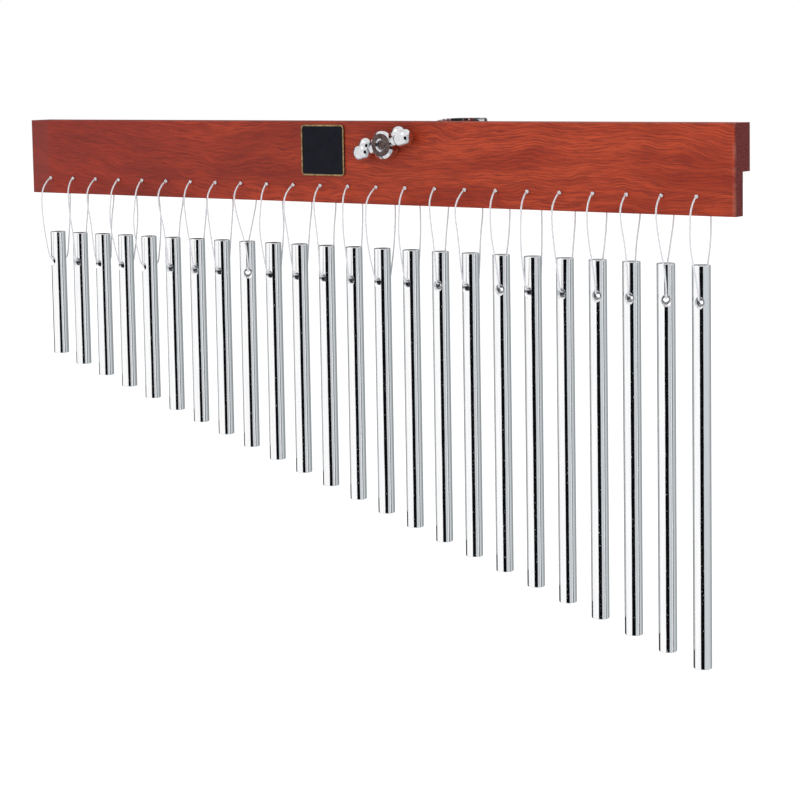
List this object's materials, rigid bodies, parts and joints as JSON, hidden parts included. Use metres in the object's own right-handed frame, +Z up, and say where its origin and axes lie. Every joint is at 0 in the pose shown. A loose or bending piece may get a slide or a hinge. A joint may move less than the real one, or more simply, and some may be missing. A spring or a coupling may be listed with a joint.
{
  "type": "bar chimes",
  "caption": "Wooden header carrying a row of polished metal bars of rising length on cord loops, with a rear rod clamp drawn up by a wing nut; bars swing and strike their neighbours.",
  "frame": {"origin": "on the axis of the upright rod held by the clamp, at the height of the clamp's bolt and the middle of its jaw", "axes": "+X along the row towards the longer bars, -Y towards the player, +Z up along the rod"},
  "size_m": [0.498, 0.0466, 0.28],
  "materials": {
    "wood": "satin red mahogany stain with open grain",
    "badge": "black enamel with a thin gold border, left bare",
    "bar_metal": "mirror polished",
    "cord": "white nylon cord",
    "chrome": "bright chrome plate",
    "steel": "zinc plated",
    "rubber": "matte black"
  },
  "bodies": {
    "frame": {"header_board": "wood", "rear_batten": "wood", "badge_plate": "badge", "clamp_back_plate": "steel", "plate_screws": "steel", "washer": "chrome"},
    "clamp": {"clamp_jaw": "chrome", "jaw_pad": "rubber", "clamp_bolt": "chrome"},
    "wing_nut": {"wing_nut": "chrome"},
    "loop_01": {"cord_01": "cord"},
    "bar_01": {"bar_01": "bar_metal"},
    "loop_02": {"cord_02": "cord"},
    "bar_02": {"bar_02": "bar_metal"},
    "loop_03": {"cord_03": "cord"},
    "bar_03": {"bar_03": "bar_metal"},
    "loop_04": {"cord_04": "cord"},
    "bar_04": {"bar_04": "bar_metal"},
    "loop_05": {"cord_05": "cord"},
    "bar_05": {"bar_05": "bar_metal"},
    "loop_06": {"cord_06": "cord"},
    "bar_06": {"bar_06": "bar_metal"},
    "loop_07": {"cord_07": "cord"},
    "bar_07": {"bar_07": "bar_metal"},
    "loop_08": {"cord_08": "cord"},
    "bar_08": {"bar_08": "bar_metal"},
    "loop_09": {"cord_09": "cord"},
    "bar_09": {"bar_09": "bar_metal"},
    "loop_10": {"cord_10": "cord"},
    "bar_10": {"bar_10": "bar_metal"},
    "loop_11": {"cord_11": "cord"},
    "bar_11": {"bar_11": "bar_metal"},
    "loop_12": {"cord_12": "cord"},
    "bar_12": {"bar_12": "bar_metal"},
    "loop_13": {"cord_13": "cord"},
    "bar_13": {"bar_13": "bar_metal"},
    "loop_14": {"cord_14": "cord"},
    "bar_14": {"bar_14": "bar_metal"},
    "loop_15": {"cord_15": "cord"},
    "bar_15": {"bar_15": "bar_metal"},
    "loop_16": {"cord_16": "cord"},
    "bar_16": {"bar_16": "bar_metal"},
    "loop_17": {"cord_17": "cord"},
    "bar_17": {"bar_17": "bar_metal"},
    "loop_18": {"cord_18": "cord"},
    "bar_18": {"bar_18": "bar_metal"},
    "loop_19": {"cord_19": "cord"},
    "bar_19": {"bar_19": "bar_metal"},
    "loop_20": {"cord_20": "cord"},
    "bar_20": {"bar_20": "bar_metal"},
    "loop_21": {"cord_21": "cord"},
    "bar_21": {"bar_21": "bar_metal"},
    "loop_22": {"cord_22": "cord"},
    "bar_22": {"bar_22": "bar_metal"},
    "loop_23": {"cord_23": "cord"},
    "bar_23": {"bar_23": "bar_metal"},
    "loop_24": {"cord_24": "cord"},
    "bar_24": {"bar_24": "bar_metal"}
  },
  "joints": [
    {"name": "wing_nut_turn", "type": "hinge", "parent": "frame", "child": "wing_nut", "pos_m": [-0.0347, -0.03, 0], "axis": [0, -1, 0], "range_deg": [0, 1440]},
    {"name": "clamp_open", "type": "slide", "parent": "frame", "child": "clamp", "axis": [0, 1, 0], "range_m": [0, 0.004]},
    {"name": "chime_01_swing", "type": "hinge", "parent": "frame", "child": "loop_01", "pos_m": [-0.304, -0.0212, -0.0338], "axis": [1, 0, 0], "range_deg": [-30, 30], "deforming": ["cord_01"]},
    {"name": "chime_01_rock", "type": "hinge", "parent": "loop_01", "child": "bar_01", "pos_m": [-0.304, -0.0212, -0.0765], "axis": [0.225, 0.9744, 0], "range_deg": [-9.6, 9.6]},
    {"name": "chime_02_swing", "type": "hinge", "parent": "frame", "child": "loop_02", "pos_m": [-0.284, -0.0212, -0.0338], "axis": [1, 0, 0], "range_deg": [-30, 30], "deforming": ["cord_02"]},
    {"name": "chime_02_rock", "type": "hinge", "parent": "loop_02", "child": "bar_02", "pos_m": [-0.284, -0.0212, -0.0765], "axis": [-0.2588, 0.9659, 0], "range_deg": [-8.8, 8.8]},
    {"name": "chime_03_swing", "type": "hinge", "parent": "frame", "child": "loop_03", "pos_m": [-0.264, -0.0212, -0.0338], "axis": [1, 0, 0], "range_deg": [-30, 30], "deforming": ["cord_03"]},
    {"name": "chime_03_rock", "type": "hinge", "parent": "loop_03", "child": "bar_03", "pos_m": [-0.264, -0.0212, -0.0765], "axis": [0.0349, 0.9994, 0], "range_deg": [-8.1, 8.1]},
    {"name": "chime_04_swing", "type": "hinge", "parent": "frame", "child": "loop_04", "pos_m": [-0.244, -0.0212, -0.0338], "axis": [1, 0, 0], "range_deg": [-30, 30], "deforming": ["cord_04"]},
    {"name": "chime_04_rock", "type": "hinge", "parent": "loop_04", "child": "bar_04", "pos_m": [-0.244, -0.0212, -0.0765], "axis": [0.0523, 0.9986, 0], "range_deg": [-7.5, 7.5]},
    {"name": "chime_05_swing", "type": "hinge", "parent": "frame", "child": "loop_05", "pos_m": [-0.224, -0.0212, -0.0338], "axis": [1, 0, 0], "range_deg": [-30, 30], "deforming": ["cord_05"]},
    {"name": "chime_05_rock", "type": "hinge", "parent": "loop_05", "child": "bar_05", "pos_m": [-0.224, -0.0212, -0.0765], "axis": [0.2588, 0.9659, 0], "range_deg": [-7, 7]},
    {"name": "chime_06_swing", "type": "hinge", "parent": "frame", "child": "loop_06", "pos_m": [-0.204, -0.0212, -0.0338], "axis": [1, 0, 0], "range_deg": [-30, 30], "deforming": ["cord_06"]},
    {"name": "chime_06_rock", "type": "hinge", "parent": "loop_06", "child": "bar_06", "pos_m": [-0.204, -0.0212, -0.0765], "axis": [-0.225, 0.9744, 0], "range_deg": [-6.5, 6.5]},
    {"name": "chime_07_swing", "type": "hinge", "parent": "frame", "child": "loop_07", "pos_m": [-0.184, -0.0212, -0.0338], "axis": [1, 0, 0], "range_deg": [-30, 30], "deforming": ["cord_07"]},
    {"name": "chime_07_rock", "type": "hinge", "parent": "loop_07", "child": "bar_07", "pos_m": [-0.184, -0.0212, -0.0765], "axis": [-0.309, 0.9511, 0], "range_deg": [-6.2, 6.2]},
    {"name": "chime_08_swing", "type": "hinge", "parent": "frame", "child": "loop_08", "pos_m": [-0.164, -0.0212, -0.0338], "axis": [1, 0, 0], "range_deg": [-30, 30], "deforming": ["cord_08"]},
    {"name": "chime_08_rock", "type": "hinge", "parent": "loop_08", "child": "bar_08", "pos_m": [-0.164, -0.0212, -0.0765], "axis": [-0.0872, 0.9962, 0], "range_deg": [-5.8, 5.8]},
    {"name": "chime_09_swing", "type": "hinge", "parent": "frame", "child": "loop_09", "pos_m": [-0.144, -0.0212, -0.0338], "axis": [1, 0, 0], "range_deg": [-30, 30], "deforming": ["cord_09"]},
    {"name": "chime_09_rock", "type": "hinge", "parent": "loop_09", "child": "bar_09", "pos_m": [-0.144, -0.0212, -0.0765], "axis": [-0.6561, 0.7547, 0], "range_deg": [-5.5, 5.5]},
    {"name": "chime_10_swing", "type": "hinge", "parent": "frame", "child": "loop_10", "pos_m": [-0.124, -0.0212, -0.0338], "axis": [1, 0, 0], "range_deg": [-30, 30], "deforming": ["cord_10"]},
    {"name": "chime_10_rock", "type": "hinge", "parent": "loop_10", "child": "bar_10", "pos_m": [-0.124, -0.0212, -0.0765], "axis": [0.0175, 0.9998, 0], "range_deg": [-5.2, 5.2]},
    {"name": "chime_11_swing", "type": "hinge", "parent": "frame", "child": "loop_11", "pos_m": [-0.104, -0.0212, -0.0338], "axis": [1, 0, 0], "range_deg": [-30, 30], "deforming": ["cord_11"]},
    {"name": "chime_11_rock", "type": "hinge", "parent": "loop_11", "child": "bar_11", "pos_m": [-0.104, -0.0212, -0.0765], "axis": [-0.0349, 0.9994, 0], "range_deg": [-5, 5]},
    {"name": "chime_12_swing", "type": "hinge", "parent": "frame", "child": "loop_12", "pos_m": [-0.084, -0.0212, -0.0338], "axis": [1, 0, 0], "range_deg": [-30, 30], "deforming": ["cord_12"]},
    {"name": "chime_12_rock", "type": "hinge", "parent": "loop_12", "child": "bar_12", "pos_m": [-0.084, -0.0212, -0.0765], "axis": [-0.0175, 0.9998, 0], "range_deg": [-4.7, 4.7]},
    {"name": "chime_13_swing", "type": "hinge", "parent": "frame", "child": "loop_13", "pos_m": [-0.064, -0.0212, -0.0338], "axis": [1, 0, 0], "range_deg": [-30, 30], "deforming": ["cord_13"]},
    {"name": "chime_13_rock", "type": "hinge", "parent": "loop_13", "child": "bar_13", "pos_m": [-0.064, -0.0212, -0.0765], "axis": [-0.1045, 0.9945, 0], "range_deg": [-4.5, 4.5]},
    {"name": "chime_14_swing", "type": "hinge", "parent": "frame", "child": "loop_14", "pos_m": [-0.044, -0.0212, -0.0338], "axis": [1, 0, 0], "range_deg": [-30, 30], "deforming": ["cord_14"]},
    {"name": "chime_14_rock", "type": "hinge", "parent": "loop_14", "child": "bar_14", "pos_m": [-0.044, -0.0212, -0.0765], "axis": [0.1219, 0.9925, 0], "range_deg": [-4.3, 4.3]},
    {"name": "chime_15_swing", "type": "hinge", "parent": "frame", "child": "loop_15", "pos_m": [-0.024, -0.0212, -0.0338], "axis": [1, 0, 0], "range_deg": [-30, 30], "deforming": ["cord_15"]},
    {"name": "chime_15_rock", "type": "hinge", "parent": "loop_15", "child": "bar_15", "pos_m": [-0.024, -0.0212, -0.0765], "axis": [0.0175, 0.9998, 0], "range_deg": [-4.2, 4.2]},
    {"name": "chime_16_swing", "type": "hinge", "parent": "frame", "child": "loop_16", "pos_m": [-0.004, -0.0212, -0.0338], "axis": [1, 0, 0], "range_deg": [-30, 30], "deforming": ["cord_16"]},
    {"name": "chime_16_rock", "type": "hinge", "parent": "loop_16", "child": "bar_16", "pos_m": [-0.004, -0.0212, -0.0765], "axis": [-0.225, 0.9744, 0], "range_deg": [-4, 4]},
    {"name": "chime_17_swing", "type": "hinge", "parent": "frame", "child": "loop_17", "pos_m": [0.016, -0.0212, -0.0338], "axis": [1, 0, 0], "range_deg": [-30, 30], "deforming": ["cord_17"]},
    {"name": "chime_17_rock", "type": "hinge", "parent": "loop_17", "child": "bar_17", "pos_m": [0.016, -0.0212, -0.0765], "axis": [0.1045, 0.9945, 0], "range_deg": [-3.8, 3.8]},
    {"name": "chime_18_swing", "type": "hinge", "parent": "frame", "child": "loop_18", "pos_m": [0.036, -0.0212, -0.0338], "axis": [1, 0, 0], "range_deg": [-30, 30], "deforming": ["cord_18"]},
    {"name": "chime_18_rock", "type": "hinge", "parent": "loop_18", "child": "bar_18", "pos_m": [0.036, -0.0212, -0.0765], "axis": [-0.342, 0.9397, 0], "range_deg": [-3.7, 3.7]},
    {"name": "chime_19_swing", "type": "hinge", "parent": "frame", "child": "loop_19", "pos_m": [0.056, -0.0212, -0.0338], "axis": [1, 0, 0], "range_deg": [-30, 30], "deforming": ["cord_19"]},
    {"name": "chime_19_rock", "type": "hinge", "parent": "loop_19", "child": "bar_19", "pos_m": [0.056, -0.0212, -0.0765], "axis": [0.1219, 0.9925, 0], "range_deg": [-3.6, 3.6]},
    {"name": "chime_20_swing", "type": "hinge", "parent": "frame", "child": "loop_20", "pos_m": [0.076, -0.0212, -0.0338], "axis": [1, 0, 0], "range_deg": [-30, 30], "deforming": ["cord_20"]},
    {"name": "chime_20_rock", "type": "hinge", "parent": "loop_20", "child": "bar_20", "pos_m": [0.076, -0.0212, -0.0765], "axis": [-0.1045, 0.9945, 0], "range_deg": [-3.4, 3.4]},
    {"name": "chime_21_swing", "type": "hinge", "parent": "frame", "child": "loop_21", "pos_m": [0.096, -0.0212, -0.0338], "axis": [1, 0, 0], "range_deg": [-30, 30], "deforming": ["cord_21"]},
    {"name": "chime_21_rock", "type": "hinge", "parent": "loop_21", "child": "bar_21", "pos_m": [0.096, -0.0212, -0.0765], "axis": [-0.342, 0.9397, 0], "range_deg": [-3.3, 3.3]},
    {"name": "chime_22_swing", "type": "hinge", "parent": "frame", "child": "loop_22", "pos_m": [0.116, -0.0212, -0.0338], "axis": [1, 0, 0], "range_deg": [-30, 30], "deforming": ["cord_22"]},
    {"name": "chime_22_rock", "type": "hinge", "parent": "loop_22", "child": "bar_22", "pos_m": [0.116, -0.0212, -0.0765], "axis": [-0.225, 0.9744, 0], "range_deg": [-3.2, 3.2]},
    {"name": "chime_23_swing", "type": "hinge", "parent": "frame", "child": "loop_23", "pos_m": [0.136, -0.0212, -0.0338], "axis": [1, 0, 0], "range_deg": [-30, 30], "deforming": ["cord_23"]},
    {"name": "chime_23_rock", "type": "hinge", "parent": "loop_23", "child": "bar_23", "pos_m": [0.136, -0.0212, -0.0765], "axis": [-0.4848, 0.8746, 0], "range_deg": [-3.1, 3.1]},
    {"name": "chime_24_swing", "type": "hinge", "parent": "frame", "child": "loop_24", "pos_m": [0.156, -0.0212, -0.0338], "axis": [1, 0, 0], "range_deg": [-30, 30], "deforming": ["cord_24"]},
    {"name": "chime_24_rock", "type": "hinge", "parent": "loop_24", "child": "bar_24", "pos_m": [0.156, -0.0212, -0.0765], "axis": [-0.2588, 0.9659, 0], "range_deg": [-3, 3]}
  ],
  "couplings": [
    {"joint": "wing_nut_turn", "follows": "clamp_open", "rad_per_m": 6283.2}
  ]
}
